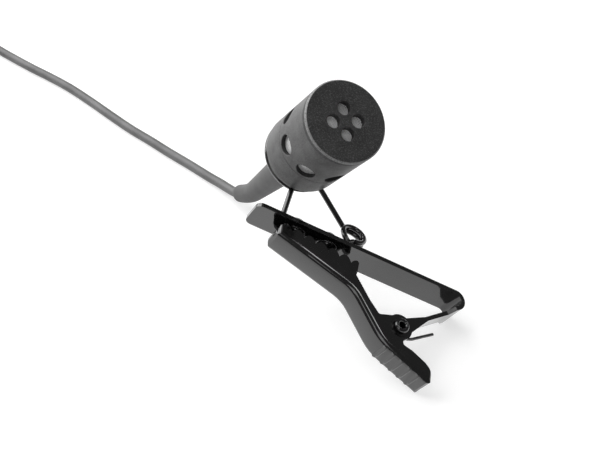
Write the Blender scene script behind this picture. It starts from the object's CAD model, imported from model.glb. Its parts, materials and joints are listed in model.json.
# Lavalier microphone on its clip: finishes, cable and fine pieces round the fixed frame
import json
import math

import bmesh
import bpy
from mathutils import Matrix, Vector


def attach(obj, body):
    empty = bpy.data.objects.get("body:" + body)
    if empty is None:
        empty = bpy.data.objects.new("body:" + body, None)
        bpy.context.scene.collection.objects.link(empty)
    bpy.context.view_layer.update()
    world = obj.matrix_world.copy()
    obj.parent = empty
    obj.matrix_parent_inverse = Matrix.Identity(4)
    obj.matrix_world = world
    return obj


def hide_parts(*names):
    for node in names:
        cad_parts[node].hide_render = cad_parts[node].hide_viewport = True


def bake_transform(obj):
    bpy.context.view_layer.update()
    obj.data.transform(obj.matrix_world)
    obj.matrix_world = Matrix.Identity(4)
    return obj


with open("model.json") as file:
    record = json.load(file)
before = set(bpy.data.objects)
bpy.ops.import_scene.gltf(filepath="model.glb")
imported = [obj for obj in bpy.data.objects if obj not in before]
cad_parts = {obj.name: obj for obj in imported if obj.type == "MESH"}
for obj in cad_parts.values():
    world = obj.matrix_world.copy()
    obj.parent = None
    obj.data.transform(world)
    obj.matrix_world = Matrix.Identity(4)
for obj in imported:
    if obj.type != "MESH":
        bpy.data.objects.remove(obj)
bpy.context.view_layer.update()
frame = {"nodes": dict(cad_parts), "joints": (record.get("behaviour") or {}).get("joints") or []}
joints = {j["name"]: j for j in frame["joints"]}
mm = 0.001          # pieces and camera are given in millimetres; finishes, stage and lamps in metres


def axisOf(name):
    return Vector(joints[name]["axis"]).normalized()


def placeOf(name):
    return Vector(joints[name]["pos_m"])


def framed(x, y, z, origin):
    turned = Matrix((x, y, z)).transposed().to_4x4()
    return Matrix.Translation(origin) @ turned @ Matrix.Scale(mm, 4)


def polar(radius, degrees):
    a = math.radians(degrees)
    return radius * math.cos(a), radius * math.sin(a)


# the clip's and the capsule's own frames, in millimetres, found from the joints that lie in them
rivetAt = {"x": 30, "z": -12.1}
clipX = axisOf("clip_swing")
clipY = -axisOf("jaw_open")
clipZ = clipX.cross(clipY)
clipOrigin = placeOf("jaw_open") - (clipX * rivetAt["x"] + clipZ * rivetAt["z"]) * mm
clipFrame = framed(clipX, clipY, clipZ, clipOrigin)

grooveAt = 18.5          # from the cap's face back to the middle of the neck groove
rearward = axisOf("holder_turn")
faceCentre = placeOf("holder_turn") - rearward * grooveAt * mm
capsuleFrame = framed(clipX, rearward.cross(clipX), rearward, faceCentre)


class Wire:
    # one output socket; arithmetic on it adds Math nodes
    def __init__(self, finish, socket):
        self.finish = finish
        self.socket = socket

    def __add__(self, other):
        return self.finish.maths("ADD", self, other)

    def __radd__(self, other):
        return self.finish.maths("ADD", other, self)

    def __sub__(self, other):
        return self.finish.maths("SUBTRACT", self, other)

    def __rsub__(self, other):
        return self.finish.maths("SUBTRACT", other, self)

    def __mul__(self, other):
        return self.finish.maths("MULTIPLY", self, other)

    def __rmul__(self, other):
        return self.finish.maths("MULTIPLY", other, self)


class Finish:
    # a material, and the nodes that feed its shader
    def __init__(self, name):
        self.material = bpy.data.materials.new(name)
        self.material.use_nodes = True
        self.tree = self.material.node_tree
        self.shader = self.tree.nodes["Principled BSDF"]

    def node(self, kind, settings=None, values=None, output=0):
        made = self.tree.nodes.new(kind)
        for name, value in (settings or {}).items():
            setattr(made, name, value)
        for name, value in (values or {}).items():
            self.feed(made.inputs[name], value)
        return Wire(self, made.outputs[output])

    def feed(self, socket, value):
        if isinstance(value, Wire):
            self.tree.links.new(value.socket, socket)
        elif socket.type == "RGBA":
            socket.default_value = (*value, 1)
        else:
            socket.default_value = value

    # sets or links the shader's own sockets, such as baseColor or coatWeight
    def surface(self, **values):
        for name, value in values.items():
            title = "".join(" " + c if c.isupper() else c for c in name).title()
            self.feed(self.shader.inputs["Specular IOR Level" if name == "specular" else title], value)

    def maths(self, operation, *values):
        return self.node("ShaderNodeMath", {"operation": operation}, dict(enumerate(values)))

    # where the surface is, in metres
    def place(self):
        return self.node("ShaderNodeTexCoord", output="Object")

    # distances in millimetres along the three axes of a piece's own frame
    def inFrame(self, frameOfPiece):
        at = self.place()
        return [
            self.node("ShaderNodeVectorMath", {"operation": "DOT_PRODUCT"}, {0: at, 1: tuple(row[:3])},
                      output="Value") + row[3]
            for row in frameOfPiece.inverted()[:3]
        ]

    def noise(self, scale, detail, rough):
        return self.node("ShaderNodeTexNoise", None,
                         {"Vector": self.place(), "Scale": scale, "Detail": detail, "Roughness": rough})

    def stripes(self, direction, scale):
        return self.node("ShaderNodeTexWave", {"bands_direction": direction},
                         {"Vector": self.place(), "Scale": scale})

    def band(self, value, low, high, toLow=0, toHigh=1):
        return self.node(
            "ShaderNodeMapRange", {"interpolation_type": "SMOOTHSTEP"},
            {"Value": value, "From Min": low, "From Max": high, "To Min": toLow, "To Max": toHigh},
        )

    def blendColor(self, share, first, second):
        return self.node("ShaderNodeMix", {"data_type": "RGBA"}, {"Factor": share, 6: first, 7: second},
                         output=2)

    def bump(self, height, depth, strength):
        return self.node("ShaderNodeBump", None, {"Height": height, "Distance": depth, "Strength": strength})


def grey(level):
    return (level, level, level)


# bead-blasted, satin lacquered metal with pale specks; its rim can be worn lighter
blasted = {
    "cloud": 350, "grainShare": 0.55, "toneBand": (0.38, 0.62), "dark": 0.72, "light": 1.28,
    "speckScale": 1.1, "speckBand": (0.52, 0.68), "speckLevel": 4, "grainRough": 0.10, "cloudRough": 0.08,
    "bump": 0.8, "rimAlong": (0.55, 0.3), "rimGrain": (0.3, 0.6, 0.35, 1), "rimLevel": 0.3, "rimGloss": 0.12,
}


def blastedMetal(name, level, rough, grain, depth, speckle=0.0, specular=0.3, wornRim=None):
    f, c = Finish(name), blasted
    grainNoise = f.noise(grain, detail=3, rough=0.6)
    cloud = f.noise(c["cloud"], detail=3, rough=0.55)
    tone = f.band(c["grainShare"] * grainNoise + (1 - c["grainShare"]) * cloud, *c["toneBand"])
    base = f.blendColor(tone, grey(level * c["dark"]), grey(level * c["light"]))
    if speckle:
        specks = f.band(f.noise(grain * c["speckScale"], detail=1, rough=0.4), *c["speckBand"])
        base = f.blendColor(specks * speckle, base, grey(level * c["speckLevel"]))
    roughness = rough + c["grainRough"] * (grainNoise - 0.5) + c["cloudRough"] * (cloud - 0.5)
    if wornRim:
        x, y, along = f.inFrame(capsuleFrame)
        outward = f.maths("SQRT", x * x + y * y)
        worn = (f.band(outward, *wornRim) * f.band(along, *c["rimAlong"])
                * f.band(grainNoise, *c["rimGrain"]))
        base = f.blendColor(worn, base, grey(c["rimLevel"]))
        roughness = roughness - c["rimGloss"] * worn
    f.surface(baseColor=base, specular=specular, roughness=roughness,
              normal=f.bump(grainNoise, depth, c["bump"]))
    return f.material


# stamped steel under glossy black lacquer: slight orange peel, a little dust, faint smears
lacquer = {
    "peel": 900, "peelDepth": 0.00002, "bump": 0.35, "dust": 5200, "dustBand": (0.70, 0.78),
    "dustShare": 0.5, "dustLevel": 9, "dustRough": 0.3, "smear": 260, "smearBand": (0.4, 0.75),
    "smearRough": 0.10, "specular": 0.6, "coat": 0.7, "coatRough": 0.04,
}


def blackLacquer(name, level, rough):
    f, c = Finish(name), lacquer
    peel = f.noise(c["peel"], detail=2, rough=0.5)
    dust = f.band(f.noise(c["dust"], detail=2, rough=0.6), *c["dustBand"])
    smear = f.band(f.noise(c["smear"], detail=3, rough=0.6), *c["smearBand"])
    f.surface(
        baseColor=f.blendColor(dust * c["dustShare"], grey(level), grey(level * c["dustLevel"])),
        roughness=rough + c["smearRough"] * smear + c["dustRough"] * dust,
        specular=c["specular"], coatWeight=c["coat"], coatRoughness=c["coatRough"],
        normal=f.bump(peel, c["peelDepth"], c["bump"]),
    )
    return f.material


metal = {
    "scuff": 2600, "scuffDepth": 0.00001, "scuffRough": 0.12, "bump": 0.5, "tarnish": 420,
    "tarnishBand": (0.35, 0.7), "tarnishLevel": 0.7,
}


def brightMetal(name, color, rough):
    f, c = Finish(name), metal
    scuff = f.noise(c["scuff"], detail=3, rough=0.6)
    tarnish = f.band(f.noise(c["tarnish"], detail=2, rough=0.5), *c["tarnishBand"])
    f.surface(
        baseColor=f.blendColor(tarnish, color, tuple(v * c["tarnishLevel"] for v in color)), metallic=1.0,
        roughness=rough + c["scuffRough"] * (scuff - 0.5),
        normal=f.bump(scuff, c["scuffDepth"], c["bump"]),
    )
    return f.material


# moulded rubber, plastic or a cable's jacket
plastic = {
    "cloud": 180, "cloudBand": (0.3, 0.7), "dark": 0.8, "light": 1.2, "specular": 0.45, "fineRough": 0.14,
    "bump": 0.7,
}


def softPlastic(name, level, rough, grain, depth=0.00001, tint=(1, 1, 1)):
    f, c = Finish(name), plastic
    fine = f.noise(grain, detail=3, rough=0.65)
    cloud = f.band(f.noise(c["cloud"], detail=3, rough=0.5), *c["cloudBand"])
    dark, light = (tuple(level * c[tone] * t for t in tint) for tone in ("dark", "light"))
    f.surface(
        baseColor=f.blendColor(cloud, dark, light), specular=c["specular"],
        roughness=rough + c["fineRough"] * (fine - 0.5), normal=f.bump(fine, depth, c["bump"]),
    )
    return f.material


weave = {
    "threads": 700, "fuzz": 2400, "fuzzShare": 0.4, "band": (0.1, 0.9), "level": 0.02, "dark": 0.6,
    "light": 1.6, "rough": 0.85, "depth": 0.00012, "bump": 0.8,
}


def wovenFabric(name):
    f, c = Finish(name), weave
    height = f.stripes("Z", c["threads"]) * f.stripes("X", c["threads"])
    height = height + c["fuzzShare"] * f.noise(c["fuzz"], detail=4, rough=0.7)
    dark, light = grey(c["level"] * c["dark"]), grey(c["level"] * c["light"])
    f.surface(baseColor=f.blendColor(f.band(height, *c["band"]), dark, light), roughness=c["rough"],
              normal=f.bump(height, c["depth"], c["bump"]))
    return f.material


# punched sleeve behind the ports: dark holes in rows round the capsule's axis
sleeve = {
    "rowPitch": 0.34, "holesRound": 118, "holeBand": (0.12, 0.42), "level": 0.9, "holeLevel": 0.12,
    "metallic": 0.35, "rough": 0.34, "holeRough": 0.4, "depth": 0.00006, "bump": 0.6,
}


def perforatedSleeve(name):
    f, c = Finish(name), sleeve
    x, y, along = f.inFrame(capsuleFrame)
    rows = f.maths("COSINE", along * (2 * math.pi / c["rowPitch"]))
    columns = f.maths("COSINE", f.maths("ARCTAN2", y, x) * c["holesRound"])
    hole = f.band(rows * columns, *c["holeBand"])
    f.surface(
        baseColor=f.blendColor(hole, grey(c["level"]), grey(c["holeLevel"])), metallic=c["metallic"],
        roughness=c["rough"] + c["holeRough"] * hole, normal=f.bump(1 - hole, c["depth"], c["bump"]),
    )
    return f.material


finishes = {
    "cap": blastedMetal("capBlack", level=0.032, rough=0.5, grain=5200, depth=0.00003, speckle=0.55,
                        wornRim=(6.98, 7.08)),
    "shell": blastedMetal("shellCharcoal", level=0.112, rough=0.42, grain=6400, depth=0.00003, speckle=0.12,
                          specular=0.12),
    "inside": blastedMetal("insideBlack", level=0.02, rough=0.5, grain=5200, depth=0.00002),
    "lacquer": blackLacquer("clipLacquer", level=0.006, rough=0.09),
    "wire": blackLacquer("wireLacquer", level=0.007, rough=0.16),
    "bare": brightMetal("bareMetal", (0.70, 0.70, 0.68), rough=0.3),
    "gilt": brightMetal("giltBrass", (0.83, 0.66, 0.34), rough=0.18),
    "spring": brightMetal("springSteel", (0.16, 0.16, 0.16), rough=0.3),
    "turned": brightMetal("turnedSteel", (0.30, 0.30, 0.29), rough=0.32),
    "gauze": softPlastic("gauzeSilver", level=0.92, rough=0.35, grain=2600),
    "relief": softPlastic("reliefRubber", level=0.09, rough=0.55, grain=3600, depth=0.00002),
    "jacket": softPlastic("cableJacket", level=0.135, rough=0.5, grain=3000, depth=0.00002),
    "rubber": softPlastic("holderRubber", level=0.02, rough=0.6, grain=3000, depth=0.00002),
    "pale": softPlastic("palePlastic", level=0.7, rough=0.4, grain=2000),
    "dark": softPlastic("darkPlastic", level=0.02, rough=0.35, grain=2000),
    "board": softPlastic("boardGlass", level=0.10, rough=0.35, grain=2600, tint=(0.3, 1, 0.45)),
    "red": softPlastic("redInsulation", level=0.35, rough=0.4, grain=2000, tint=(1, 0.12, 0.1)),
    "film": softPlastic("filmGold", level=0.6, rough=0.3, grain=2000, tint=(1, 0.9, 0.65)),
    "strap": wovenFabric("strapWeave"),
    "perforated": perforatedSleeve("perforatedSleeve"),
}
print("finishes made:", len(finishes))


def added(name, data):
    piece = bpy.data.objects.new(name, data)
    bpy.context.scene.collection.objects.link(piece)
    return piece


view = {
    "at": (-8.0, -129.8, 142.35), "down": 43.98, "focalPixels": 1014, "widthPixels": 600, "sensor": 36,
    "clip": (0.005, 20),
}
cameraData = bpy.data.cameras.new("camera")
cameraData.sensor_width = view["sensor"]
cameraData.lens = view["sensor"] * view["focalPixels"] / view["widthPixels"]
cameraData.clip_start, cameraData.clip_end = view["clip"]
camera = added("camera", cameraData)
camera.location = Vector(view["at"]) * mm
camera.rotation_euler = (math.radians(90 - view["down"]), 0, 0)
bpy.context.scene.camera = camera


# a made piece takes the place, body and slot of the CAD nodes that it shows
def standIn(piece, body, *nodes):
    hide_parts(*nodes)
    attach(piece, body)


def shadeByAngle(mesh, degrees):
    mesh.shade_smooth()
    bm = bmesh.new()
    bm.from_mesh(mesh)
    for edge in bm.edges:
        edge.smooth = len(edge.link_faces) == 2 and edge.calc_face_angle(0) < math.radians(degrees)
    bm.to_mesh(mesh)
    bm.free()


def fromBmesh(name, bm, place, finishNames, smoothBelow):
    bmesh.ops.remove_doubles(bm, verts=bm.verts, dist=1e-5)
    bmesh.ops.recalc_face_normals(bm, faces=bm.faces)
    mesh = bpy.data.meshes.new(name)
    bm.to_mesh(mesh)
    bm.free()
    mesh.transform(place)
    for finish in finishNames:
        mesh.materials.append(finishes[finish])
    shadeByAngle(mesh, smoothBelow)
    return added(name, mesh)


# a smooth line through chosen points, ending at each of them
def smoothLine(points, steps):
    points = [Vector(p) for p in points]
    ends = [2 * points[0] - points[1], *points, 2 * points[-1] - points[-2]]
    line = []
    for a, b, c, d in zip(ends, ends[1:], ends[2:], ends[3:]):
        for k in range(steps):
            t = k / steps
            line.append(0.5 * (2 * b + (c - a) * t + (2 * a - 5 * b + 4 * c - d) * t * t
                               + (3 * b - a - 3 * c + d) * t ** 3))
    return [*line, points[-1]]


def curveOf(name, lines, radius, place, resolution):
    data = bpy.data.curves.new(name, "CURVE")
    data.dimensions = "3D"
    data.bevel_depth = radius
    data.bevel_resolution = resolution
    data.use_fill_caps = True
    for line in lines:
        spline = data.splines.new("POLY")
        spline.points.add(len(line) - 1)
        for point, at in zip(spline.points, line):
            point.co = (*(place @ Vector(at)), 1)
        spline.use_smooth = True
    return added(name, data)


def meshOf(curve, finish):
    graph = bpy.context.evaluated_depsgraph_get()
    mesh = bpy.data.meshes.new_from_object(curve.evaluated_get(graph))
    name = curve.name
    bpy.data.objects.remove(curve)
    mesh.materials.clear()
    mesh.materials.append(finishes[finish])
    return added(name, mesh)


def eased(t):
    return t * t * (3 - 2 * t)


# cable: one cord from the strain relief through the coil to the plug
cable = {
    "diameter": 2.0,
    "length": 1.44,          # metres
    "route": [(-20.6, 24, 2.8), (-21.6, 25.1, 2.4), (-22.9, 26.6, 2), (-24.8, 28.7, 1.6), (-27.1, 31, 1.2),
              (-31.5, 35.1, 1), (-36.2, 39.1, 1), (-40.9, 43.3, 1), (-45.8, 47.5, 1), (-51, 52.5, 1),
              (-56.3, 57.7, 1), (-61.7, 62.7, 1), (-67.1, 67, 1), (-72.5, 71, 1), (-81.2, 78, 1),
              (-89.6, 85.7, 1), (-97.7, 93.7, 1.2), (-102.8, 98.1, 1.4)],
    "tail": [(-131.6, 84.1, 6.8), (-131.7, 77.1, 4.6), (-131.6, 70.1, 2.3), (-131.4, 63.1, 1.2),
             (-131.3, 56.1, 1.2), (-131.3, 49.1, 2.6), (-131.3, 45.1, 3.6), (-131.3, 42.5, 3.8)],
    "coilAt": (-116.4, 89.5),
    "coilLow": 0.45,
    "middle": 22,
    "spacing": 2.05,
    "columns": 5,
    "layers": 4,          # even, so that the last turn ends outside
    "startAngle": 50.3,
    "leaveAngle": 180,
    "perQuarter": 8,
    "leaveStep": 9,
    "smoothSteps": 6,
    "sides": 4,
}


# the turns lie side by side; each quarter turn may step in, out or up by one cable
def coilLine(c):
    last, top = c["columns"] - 1, c["layers"] - 1
    outer = c["middle"] / 2 + last * c["spacing"] / 2

    def spot(degrees, column, layer):
        x, y = polar(outer - c["spacing"] * column, degrees)
        height = c["coilLow"] + c["diameter"] / 2 + c["spacing"] * layer
        return c["coilAt"][0] + x, c["coilAt"][1] + y, height

    column, layer, inward, quarter, line = 0, 0, True, 1, []
    while layer < top or column > 0:
        kind = quarter % 4          # 0 steps in, 1 climbs outside, 2 steps out, 3 climbs inside
        across = up = 0
        if kind == 0 and inward and column < last:
            across = 1
        elif kind == 2 and not inward and column > 0:
            across = -1
        elif kind == (3 if inward else 1) and column == (last if inward else 0) and layer < top:
            up = 1
        for k in range(c["perQuarter"]):
            done = k / c["perQuarter"]
            share = eased(done)
            degrees = c["startAngle"] + 90 * (quarter - 1 + done)
            line.append(spot(degrees, column + across * share, layer + up * share))
        column += across
        layer += up
        if up:
            inward = not inward
        quarter += 1
    turned = c["startAngle"] + 90 * (quarter - 1)
    count = int((c["leaveAngle"] - turned) % 360 / c["leaveStep"])
    return line + [spot(turned + c["leaveStep"] * k, 0, top) for k in range(count)]


coiled = coilLine(cable)
cableLine = [*smoothLine([*cable["route"], coiled[0]], cable["smoothSteps"])[:-1], *coiled,
             *smoothLine([coiled[-1], *cable["tail"]], cable["smoothSteps"])[1:]]
cableCord = curveOf("cable", [cableLine], cable["diameter"] / 2 * mm, Matrix.Scale(mm, 4), cable["sides"])
cableCord.data.materials.append(finishes["jacket"])
standIn(cableCord, "capsule", "cable_run", "cable_coil", "cable_tail")
cableReach = sum((Vector(b) - Vector(a)).length for a, b in zip(cableLine, cableLine[1:])) * mm
print("cable line:", len(cableLine), "points,", round(cableReach, 3), "m")


# CAD nodes that keep their mesh, or lend it to a copy
nodeFinish = {
    "element_holder": "rubber", "element_can": "bare", "diaphragm": "film", "backplate": "gilt",
    "insulator_ring": "pale", "element_board": "board", "signal_lead": "red", "shield_lead": "bare",
    "port_mesh": "perforated", "cable_tie": "strap", "plug_boot": "relief", "plug_barrel": "turned",
    "plug_sleeve": "gilt", "plug_insulators": "dark", "plug_ring": "gilt", "plug_tip": "gilt",
    "front_cap": "cap", "upper_jaw": "lacquer", "lower_jaw": "lacquer", "pivot_rivet": "lacquer",
}
for name, finish in nodeFinish.items():
    mesh = frame["nodes"][name].data
    mesh.materials.clear()
    mesh.materials.append(finishes[finish])

brokenEdge = {"merge": 3e-6, "flatBelow": 0.4, "sharpAbove": 50, "smoothBelow": 34, "segments": 3}


# a copy of a CAD node with its sharp edges broken by a small round
def edgesBroken(node, name, body, width, reshape=None):
    c = brokenEdge
    mesh = frame["nodes"][node].data.copy()
    mesh.name = name
    bm = bmesh.new()
    bm.from_mesh(mesh)
    bmesh.ops.remove_doubles(bm, verts=bm.verts, dist=c["merge"])
    bmesh.ops.dissolve_degenerate(bm, edges=bm.edges, dist=c["merge"])
    bmesh.ops.dissolve_limit(bm, angle_limit=math.radians(c["flatBelow"]), verts=bm.verts, edges=bm.edges)
    if reshape:
        reshape(bm)
    weight = bm.edges.layers.float.new("bevel_weight_edge")
    for edge in bm.edges:
        if len(edge.link_faces) == 2 and edge.calc_face_angle(0) > math.radians(c["sharpAbove"]):
            edge[weight] = 1
    bm.to_mesh(mesh)
    bm.free()
    piece = added(name, mesh)
    shadeByAngle(mesh, c["smoothBelow"])
    bevel = piece.modifiers.new("brokenEdges", "BEVEL")
    bevel.width = width * mm
    bevel.segments = c["segments"]
    bevel.limit_method = "WEIGHT"
    bevel.harden_normals = True
    bevel.use_clamp_overlap = True
    standIn(piece, body, node)


# the grip pad: its end fuller and rounder, and its ribs as soft ridges
pad = {
    "foot": (26.884, 0, -16.296), "slope": -21.9, "half": 2.65, "last": 37.38, "roundedFrom": 34,
    "cornerCut": 1.9, "corners": (0.8, 1.5),          # radius on the side of -y, and on that of +y
    "cornerReach": 0.05, "cornerNear": 0.03,
    "rounds": (((34.18, 0, -19.73), 3.2, 65), ((36.68, 0, -19.48), 0.7, -111.9)),  # centre, radius, slope
    "roundSteps": 6, "merge": 0.004, "flatBelow": 0.5,
    "ribFace": (0.4, 9.3), "ribFaceHalf": 2.3, "ribProud": 0.004,
    "ribs": 5, "firstRib": 1.55, "ribPitch": 1.8, "ribHalf": 2.0, "ribAside": -0.2, "ribTaper": 0.9,
    "ribWidth": 0.28, "ribSunk": 0.1, "ribHeight": 0.12, "ribSegments": (20, 9),
}


def sloped(degrees):
    x, z = polar(1, degrees)
    return Vector((x, 0, z))


def reshapePad(bm):
    c = pad
    bm.transform(clipFrame.inverted())
    along, up = sloped(c["slope"]), sloped(c["slope"] + 90)
    foot = Vector(c["foot"])
    # the ribs go down to the face and come back as soft ridges below
    near, far = c["ribFace"]
    for v in bm.verts:
        past, rise = (v.co - foot).dot(along), (v.co - foot).dot(up)
        if near < past < far and abs(v.co.y) < c["ribFaceHalf"] and rise < -c["ribProud"]:
            v.co -= up * rise

    def cutAt(y, r):
        reach = max(abs(y) - c["half"] + r, 0)
        return c["last"] - r + math.sqrt(max(r * r - reach ** 2, 0))

    # the cut corners at the end move out to a smaller round
    for v in bm.verts:
        cut = cutAt(v.co.y, c["cornerCut"])
        if v.co.x > c["last"] - c["cornerCut"] - c["cornerReach"] and abs(v.co.x - cut) < c["cornerNear"]:
            v.co += along * (cutAt(v.co.y, c["corners"][v.co.y > 0]) - cut) / along.x
    bmesh.ops.remove_doubles(bm, verts=bm.verts, dist=c["merge"])
    bmesh.ops.dissolve_limit(bm, angle_limit=math.radians(c["flatBelow"]), verts=bm.verts, edges=bm.edges)

    # the flanges' top corners and the end's lower edge, rounded by a few cuts
    bmesh.ops.bisect_plane(bm, geom=[*bm.verts, *bm.edges, *bm.faces], plane_co=(c["roundedFrom"], 0, 0),
                           plane_no=(1, 0, 0))
    for centre, radius, slope in c["rounds"]:
        for k in range(1, c["roundSteps"]):
            normal = sloped(slope * (1 - k / c["roundSteps"]))
            faces = [f for f in bm.faces if f.calc_center_median().x > c["roundedFrom"]]
            verts = {v for f in faces for v in f.verts}
            edges = {e for f in faces for e in f.edges}
            bmesh.ops.bisect_plane(bm, geom=[*verts, *edges, *faces], dist=1e-4, clear_outer=True,
                                   plane_co=Vector(centre) + normal * radius, plane_no=normal)
            bmesh.ops.holes_fill(bm, edges=[e for e in bm.edges if len(e.link_faces) == 1], sides=0)
    print("pad end: open edges", sum(len(e.link_faces) != 2 for e in bm.edges))

    size = (c["ribWidth"], c["ribHeight"] + c["ribSunk"], c["ribTaper"])
    turn = Matrix((along, up, Vector((0, 1, 0)))).transposed().to_4x4()
    for k in range(c["ribs"]):
        rib = bmesh.ops.create_uvsphere(bm, u_segments=c["ribSegments"][0], v_segments=c["ribSegments"][1],
                                        radius=1)["verts"]
        bmesh.ops.scale(bm, vec=size, verts=rib)
        for v in rib:
            v.co.z += math.copysign(c["ribHalf"] - c["ribTaper"], v.co.z)
        at = foot + along * (c["firstRib"] + k * c["ribPitch"]) + up * c["ribSunk"]
        at.y += c["ribAside"]
        bmesh.ops.transform(bm, matrix=Matrix.Translation(at) @ turn, verts=rib)
        bmesh.ops.recalc_face_normals(bm, faces=list({f for v in rib for f in v.link_faces}))
    bm.transform(clipFrame)


edgesBroken("upper_jaw", "upperJaw", "upper_clip", width=0.2)
edgesBroken("lower_jaw", "lowerJaw", "lower_clip", width=0.2, reshape=reshapePad)
edgesBroken("pivot_rivet", "pivotRivet", "upper_clip", width=0.05)
edgesBroken("front_cap", "frontCap", "capsule", width=0.07)
print("edges broken on the clip and the cap")


# front shell: one sector of the wall is grown from the rim of its port and then repeated
frontShell = {
    "radius": 7.25, "bore": 6.45, "from": 1.2, "to": 11.2, "chamfer": 0.1, "firstAngle": 145,
    "ports": 8, "portRadius": 1.75, "portAt": 9.1, "patchFrom": 7.0,
    "around": 32, "rings": (0, 0.3, 0.65, 1), "rows": (5, 3), "merge": 1e-3, "smoothBelow": 40,
}


# new faces from the edges out to where move puts their copies, which come back
def drawn(bm, edges, move, materialIndex=0):
    grown = bmesh.ops.extrude_edge_only(bm, edges=edges)["geom"]
    verts = {g for g in grown if isinstance(g, bmesh.types.BMVert)}
    for v in verts:
        v.co = move(v.co)
    for g in grown:
        if isinstance(g, bmesh.types.BMFace):
            g.material_index = materialIndex
    return [g for g in grown if isinstance(g, bmesh.types.BMEdge) and verts.issuperset(g.verts)]


def portedShell(c):
    bm = bmesh.new()
    half = 180 / c["ports"]
    lip = c["radius"] - c["chamfer"]
    outerTop = c["to"] - c["chamfer"]
    wide = c["portRadius"] + c["chamfer"]

    # where a ray from the port's middle meets the sector's border
    def border(phi):
        quarter = (phi / (math.pi / 2) + 0.5) % 4
        t = 2 * (quarter % 1) - 1
        return [(1, t), (-t, 1), (-1, -t), (t, -1)][int(quarter) % 4]

    # flat rings round a circle, then wrapped on the wall between the port and the border
    def patch(radius, hole, top):
        before = len(bm.verts)
        circle = bmesh.ops.create_circle(bm, segments=c["around"], radius=1)["verts"]
        rim = list({e for v in circle for e in v.link_edges})
        edges = rim
        for k in range(1, len(c["rings"])):
            edges = drawn(bm, edges, lambda co: co * (k + 1) / k)
        bm.verts.ensure_lookup_table()
        for v in bm.verts[before:]:
            share = c["rings"][round(v.co.length) - 1]
            phi = math.atan2(v.co.y, v.co.x)
            x, y = border(phi)
            rise = hole * math.sin(phi)
            turn = math.degrees(math.asin(hole * math.cos(phi) / radius))
            reach = y * (top - c["portAt"] if y > 0 else c["portAt"] - c["patchFrom"])
            v.co = (*polar(radius, turn + (x * half - turn) * share),
                    c["portAt"] + rise + (reach - rise) * share)
        return rim

    def edgesAt(s, radius=None):
        def there(v):
            aside = abs(v.co.xy.length - radius) if radius else 0
            return max(abs(v.co.z - s), aside) < c["merge"]
        return [e for e in bm.edges if there(e.verts[0]) and there(e.verts[1])]

    def throughPort(radius, scale):
        def move(co):
            across, rise = co.y * scale, (co.z - c["portAt"]) * scale
            return Vector((math.sqrt(radius ** 2 - across ** 2), across, c["portAt"] + rise))
        return move

    def toRadius(radius, s):
        return lambda co: Vector((*(co.xy * (radius / co.xy.length)), s))

    rim = patch(c["radius"], wide, outerTop)
    patch(c["bore"], c["portRadius"], c["to"])
    rim = drawn(bm, rim, throughPort(lip, c["portRadius"] / wide))
    drawn(bm, rim, throughPort(c["bore"], 1), 1)
    for s, below in zip((c["patchFrom"], *c["rows"]), (*c["rows"], c["from"])):
        drawn(bm, edgesAt(s), lambda co: Vector((co.x, co.y, below)))
    # the cap's seat, and the seam with its edge broken
    drawn(bm, edgesAt(c["from"], c["radius"]), toRadius(c["bore"], c["from"]))
    seam = drawn(bm, edgesAt(outerTop, c["radius"]), toRadius(lip, c["to"]))
    drawn(bm, seam, toRadius(c["bore"], c["to"]))

    bmesh.ops.rotate(bm, cent=(0, 0, 0), matrix=Matrix.Rotation(math.radians(c["firstAngle"]), 3, "Z"),
                     verts=bm.verts)
    copies = c["ports"] - 1
    bmesh.ops.spin(bm, geom=[*bm.verts, *bm.edges, *bm.faces], cent=(0, 0, 0), axis=(0, 0, 1),
                   angle=2 * math.pi * copies / c["ports"], steps=copies, use_duplicate=True)
    bmesh.ops.remove_doubles(bm, verts=bm.verts, dist=c["merge"])
    return bm


shellPiece = fromBmesh("frontShell", portedShell(frontShell), capsuleFrame, ("shell", "inside"),
                       frontShell["smoothBelow"])
standIn(shellPiece, "capsule", "front_shell")


# an outline of radius and height, turned round the axis
def spun(outline, steps, closed):
    bm = bmesh.new()
    verts = [bm.verts.new((r, 0, s)) for r, s in outline]
    edges = [bm.edges.new(pair) for pair in zip(verts, [*verts[1:], verts[0]] if closed else verts[1:])]
    bmesh.ops.spin(bm, geom=[*verts, *edges], cent=(0, 0, 0), axis=(0, 0, 1), angle=2 * math.pi,
                   steps=steps, use_merge=True)
    return bm


rearShell = {
    "radius": 7.25, "bore": 6.45, "from": 11.2, "shoulder": 16.5, "shoulderRound": 2.5, "arcSteps": 8,
    "groove": (17.88, 19.12), "grooveRadius": 6.0, "broken": 0.1, "flange": 6.6, "flangeBroken": 0.08,
    "flangeTo": 19.4, "rim": (6.2, 19.93), "rimEnd": 6.05, "end": 20, "wall": 18.6, "neck": 2.42,
    "inside": 5.2, "insideTo": 16.9, "blackFrom": 17.1, "around": 96, "smoothBelow": 35,
}


def rearOutline(c):
    mid = c["radius"] - c["shoulderRound"]
    last = math.degrees(math.asin((c["groove"][0] - c["shoulder"]) / c["shoulderRound"]))
    turns = [polar(c["shoulderRound"], last * k / c["arcSteps"]) for k in range(c["arcSteps"] + 1)]
    low, high = c["groove"]
    return [
        (c["bore"], c["from"]), (c["radius"] - c["broken"], c["from"]),
        (c["radius"], c["from"] + c["broken"]), *((mid + x, c["shoulder"] + y) for x, y in turns),
        (c["grooveRadius"] + c["broken"], low), (c["grooveRadius"], low + c["broken"]),
        (c["grooveRadius"], high - c["broken"]), (c["grooveRadius"] + c["broken"], high),
        (c["flange"] - c["flangeBroken"], high), (c["flange"], high + c["flangeBroken"]),
        (c["flange"], c["flangeTo"]), c["rim"], (c["rimEnd"], c["end"]), (c["neck"], c["end"]),
        (c["neck"], c["wall"]), (c["inside"], c["wall"]), (c["inside"], c["insideTo"]),
        (c["bore"], c["insideTo"]),
    ]


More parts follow.
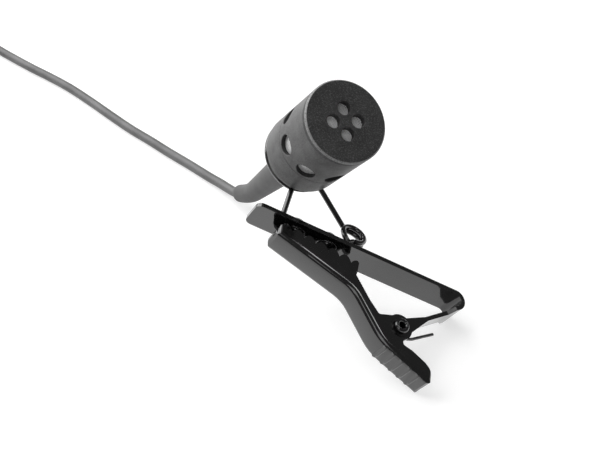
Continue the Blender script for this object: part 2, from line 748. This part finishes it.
rearMade = spun(rearOutline(rearShell), rearShell["around"], closed=True)
for face in rearMade.faces:          # the groove and what is behind it are black
    face.material_index = int(face.calc_center_median().z > rearShell["blackFrom"])
rearPiece = fromBmesh("rearShell", rearMade, capsuleFrame, ("shell", "inside"), rearShell["smoothBelow"])
standIn(rearPiece, "capsule", "rear_shell")


# strain relief: a turned taper, with its end bent toward the cable
relief = {
    "from": 20.02, "straightTo": 41.84, "bendRadius": 14, "bend": 24, "turn": 26, "radius": 3.2,
    "endRadius": 2.1, "neckRadius": 2.4, "flangeAt": (17.38, 18.58), "flangeRadius": 3.5,
    "shoulder": ((0, 0.25), (0.07, 0.07), (0.25, 0)),          # way past the start, and way in
    "nose": ((0.35, 1.8), (0.7, 1.7), (0.98, 1.54), (1.1, 1.35)),          # way past the bend, and radius
    "poles": (0.01, 0.02), "taperSteps": 12, "bendSteps": 9, "bendTaper": 0.03, "around": 48,
    "smoothBelow": 32,
}


def reliefOutline(c):
    low, high = c["flangeAt"]
    start = c["from"] + c["shoulder"][-1][0]
    end = c["straightTo"] + c["bendRadius"] * math.radians(c["bend"])
    taper = [k / c["taperSteps"] for k in range(1, c["taperSteps"] + 1)]
    return [
        (c["poles"][0], low), (c["flangeRadius"], low), (c["flangeRadius"], high),
        (c["neckRadius"], high), (c["neckRadius"], c["from"]),
        *((c["radius"] - inward, c["from"] + past) for past, inward in c["shoulder"]),
        *((c["radius"] + (c["endRadius"] - c["radius"]) * t, start + (c["straightTo"] - start) * t)
          for t in taper),
        *((c["endRadius"] - c["bendTaper"] * k,
           c["straightTo"] + (end - c["straightTo"]) * k / c["bendSteps"])
          for k in range(1, c["bendSteps"] + 1)),
        *((radius, end + past) for past, radius in c["nose"]), (c["poles"][1], end + c["nose"][-1][0]),
    ]


def bent(co, c):
    past = co.z - c["straightTo"]
    angle = min(max(past, 0) / c["bendRadius"], math.radians(c["bend"]))
    arm = Vector((co.x + c["bendRadius"], co.y, past - angle * c["bendRadius"]))
    return Matrix.Rotation(-angle, 3, "Y") @ arm + Vector((-c["bendRadius"], 0, c["straightTo"]))


reliefMade = spun(reliefOutline(relief), relief["around"], closed=False)
bmesh.ops.holes_fill(reliefMade, edges=[e for e in reliefMade.edges if len(e.link_faces) == 1], sides=0)
for v in reliefMade.verts:
    v.co = bent(v.co, relief)
bmesh.ops.rotate(reliefMade, cent=(0, 0, 0), matrix=Matrix.Rotation(math.radians(relief["turn"]), 3, "Z"),
                 verts=reliefMade.verts)
reliefPiece = fromBmesh("strainRelief", reliefMade, capsuleFrame, ("relief",), relief["smoothBelow"])
standIn(reliefPiece, "capsule", "strain_relief")
print("capsule shells and relief made")


# gauze: woven wire behind the front holes
gauze = {"wire": 0.07, "pitch": 0.26, "radius": 3.5, "at": 1.32, "steps": 4, "sides": 1}


def gauzeLines(c):
    count = int(c["radius"] / c["pitch"])
    for warp in (True, False):
        for k in range(-count, count + 1):
            aside = k * c["pitch"]
            half = int(math.sqrt(max(c["radius"] ** 2 - aside ** 2, 0)) / c["pitch"] * c["steps"])
            line = []
            for m in range(-half, half + 1):
                along = m * c["pitch"] / c["steps"]
                lift = c["wire"] * math.cos(math.pi * (along / c["pitch"] + k))
                line.append((along, aside, c["at"] + lift) if warp else (aside, along, c["at"] - lift))
            if len(line) > 2:
                yield line


gauzePiece = meshOf(curveOf("frontGauze", gauzeLines(gauze), gauze["wire"] * mm, capsuleFrame,
                            gauze["sides"]), "gauze")
standIn(gauzePiece, "capsule", "front_mesh")


# wire holder: eye, neck ring, foot and run in one bent wire
wire = {
    "diameter": 1.0, "runHeight": 0.875, "ring": (5.5, 12.7), "ringRadius": 6.55, "ringTurn": (-40, 272),
    "ringSteps": 60, "foot": (5.7, 0, 0), "runEnd": (17.05, 0, 0), "eye": (19.3, 2.75, 0.2),
    "eyeRadius": 2.1, "eyeTilt": -36.6, "eyePitch": 1.0, "eyeFrom": 120, "eyeStep": 10, "eyeCount": 58,
    "eyeShift": (-60, 130),          # where the turn starts to move over, and how long it takes
    "legSteps": (9, 7), "runSteps": 12, "footEase": (0.12, 0.06), "footCorner": (0.18, 0.2, 0),
    "runEase": (0.3, 0.2), "smoothSteps": 2, "sides": 7,
}
holderFrame = framed(clipX, clipX.cross(rearward), -rearward, clipOrigin + clipZ * wire["runHeight"] * mm)


def wireLine(c):
    tilt = Matrix.Rotation(math.radians(c["eyeTilt"]), 3, "X")
    shiftFrom, shiftOver = c["eyeShift"]

    def onEye(degrees):
        moved = eased(min(max((shiftFrom - degrees) / shiftOver, 0), 1))
        flat = Vector((*polar(c["eyeRadius"], degrees), (moved - 1) * c["eyePitch"]))
        return Vector(c["eye"]) + tilt @ flat

    def onRing(degrees):
        x, y = polar(c["ringRadius"], degrees)
        return Vector((c["ring"][0] + x, c["ring"][1] + y, 0))

    def between(start, end, count):
        return [start.lerp(end, k / count) for k in range(1, count)]

    foot, runEnd = Vector(c["foot"]), Vector(c["runEnd"])
    first, after = c["ringTurn"]
    ring = [onRing(first + (after - first) * k / c["ringSteps"]) for k in range(c["ringSteps"] + 1)]
    eye = [onEye(c["eyeFrom"] - c["eyeStep"] * k) for k in range(c["eyeCount"])]
    farLeg = between(eye[0], ring[0], c["legSteps"][0])
    nearLeg = between(ring[-1], foot, c["legSteps"][1])[:-1]
    # a round corner where each straight meets the next
    runStart = foot.lerp(runEnd, c["footEase"][1])
    footTurn = [foot.lerp(ring[-1], c["footEase"][0]), foot + Vector(c["footCorner"]), runStart]
    run = between(runStart, runEnd - Vector((c["runEase"][0], 0, 0)), c["runSteps"])
    runTurn = [runEnd - Vector((c["runEase"][1], 0, 0)), runEnd.lerp(eye[-1], 0.5), eye[-1]]
    return [*eye[::-1], *farLeg, *ring, *nearLeg, *footTurn, *run, *runTurn]


holderPiece = meshOf(curveOf("wireHolder", [smoothLine(wireLine(wire), wire["smoothSteps"])],
                             wire["diameter"] / 2 * mm, holderFrame, wire["sides"]), "wire")
standIn(holderPiece, "holder", "wire_holder")


# torsion spring: the turns wind up as the jaws open
spring = {
    "wire": 0.55, "radius": 1.395, "turns": 4, "pitch": 0.53, "legTurn": 22, "padLeg": 348,
    "legBends": ((21, 3.2), (34, 4.9)),          # slope and length of each straight of the strap's leg
    "padEnd": (1.94, -5.01), "legSteps": 5, "padSteps": 6, "turnStep": 12, "blendHalf": 0.65,
    "smoothSteps": 2, "sides": 5,
}


def springLine(c):
    half = (c["turns"] - 1) * c["pitch"] / 2
    first = c["legTurn"] - 90
    swept = 360 * (c["turns"] - 1) + (c["padLeg"] - 360 - first) % 360

    def onTurn(degrees, y):
        x, z = polar(c["radius"], degrees)
        return Vector((x, y, z))

    leg = [onTurn(first, -half)]
    for slope, length in c["legBends"]:
        far = leg[-1] + length * sloped(slope)
        leg += [leg[-1].lerp(far, k / c["legSteps"]) for k in range(1, c["legSteps"] + 1)]
    count = int(swept / c["turnStep"])
    turns = [onTurn(first - swept * k / count, 2 * half * k / count - half) for k in range(count + 1)]
    padEnd = Vector((c["padEnd"][0], turns[-1].y, c["padEnd"][1]))
    toPad = [turns[-1].lerp(padEnd, k / c["padSteps"]) for k in range(1, c["padSteps"] + 1)]
    return [*leg[:0:-1], *turns, *toPad]


rivetFrame = clipFrame @ Matrix.Translation((rivetAt["x"], 0, rivetAt["z"]))
springPiece = meshOf(curveOf("torsionSpring", [smoothLine(springLine(spring), spring["smoothSteps"])],
                             spring["wire"] / 2 * mm, rivetFrame, spring["sides"]), "spring")
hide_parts("torsion_spring")
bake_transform(springPiece)
print("gauze, wire and spring made")


# stage: the floor shows near white to the camera and in reflections, and keeps its shadow
stage = {"half": 3, "drop": 0.00002, "base": 0.5, "glow": 0.62, "rough": 0.95, "air": 0.12}


def stageWhite(c):
    f = Finish("floorWhite")
    rays = f.node("ShaderNodeLightPath", output="Is Camera Ray")
    glossy, through = (Wire(f, rays.socket.node.outputs[n]) for n in ("Is Glossy Ray", "Is Transmission Ray"))
    shown = f.maths("MINIMUM", rays + glossy + through, 1)
    f.surface(baseColor=grey(c["base"]), roughness=c["rough"], specular=0.0, emissionStrength=1.0,
              emissionColor=f.blendColor(shown, grey(0), grey(c["glow"])))
    return f.material


floorMesh = bpy.data.meshes.new("floor")
floorMade = bmesh.new()
bmesh.ops.create_grid(floorMade, x_segments=1, y_segments=1, size=stage["half"])
bmesh.ops.translate(floorMade, vec=(0, 0, -stage["drop"]), verts=floorMade.verts)
floorMade.to_mesh(floorMesh)
floorMade.free()
floorMesh.materials.append(stageWhite(stage))
added("floor", floorMesh)

world = bpy.data.worlds.new("studio")
bpy.context.scene.world = world
world.use_nodes = True
world.node_tree.nodes["Background"].inputs["Color"].default_value = (1, 1, 1, 1)
world.node_tree.nodes["Background"].inputs["Strength"].default_value = stage["air"]

lampAim = (0, 0, 0.02)
lamps = {
    "keyBox": {"at": (-0.42, 0.30, 0.42), "size": 0.75, "power": 6.8},
    "topBox": {"at": (-0.12, 0.10, 0.60), "size": 0.50, "power": 0.8},
    "frontBox": {"at": (-0.13, -0.48, 0.50), "size": 0.40, "power": 0.8},
    "edgeLamp": {"at": (0.36, 0.03, 0.48), "size": 0.12, "power": 0.2},
}
for name, c in lamps.items():
    lamp = bpy.data.lights.new(name, "AREA")
    lamp.size = c["size"]
    lamp.energy = c["power"]
    box = added(name, lamp)
    box.location = c["at"]
    box.rotation_euler = (Vector(c["at"]) - Vector(lampAim)).to_track_quat("Z", "Y").to_euler()

bpy.context.scene.view_settings.view_transform = "Standard"
print("stage and lamps made")

print("size written")
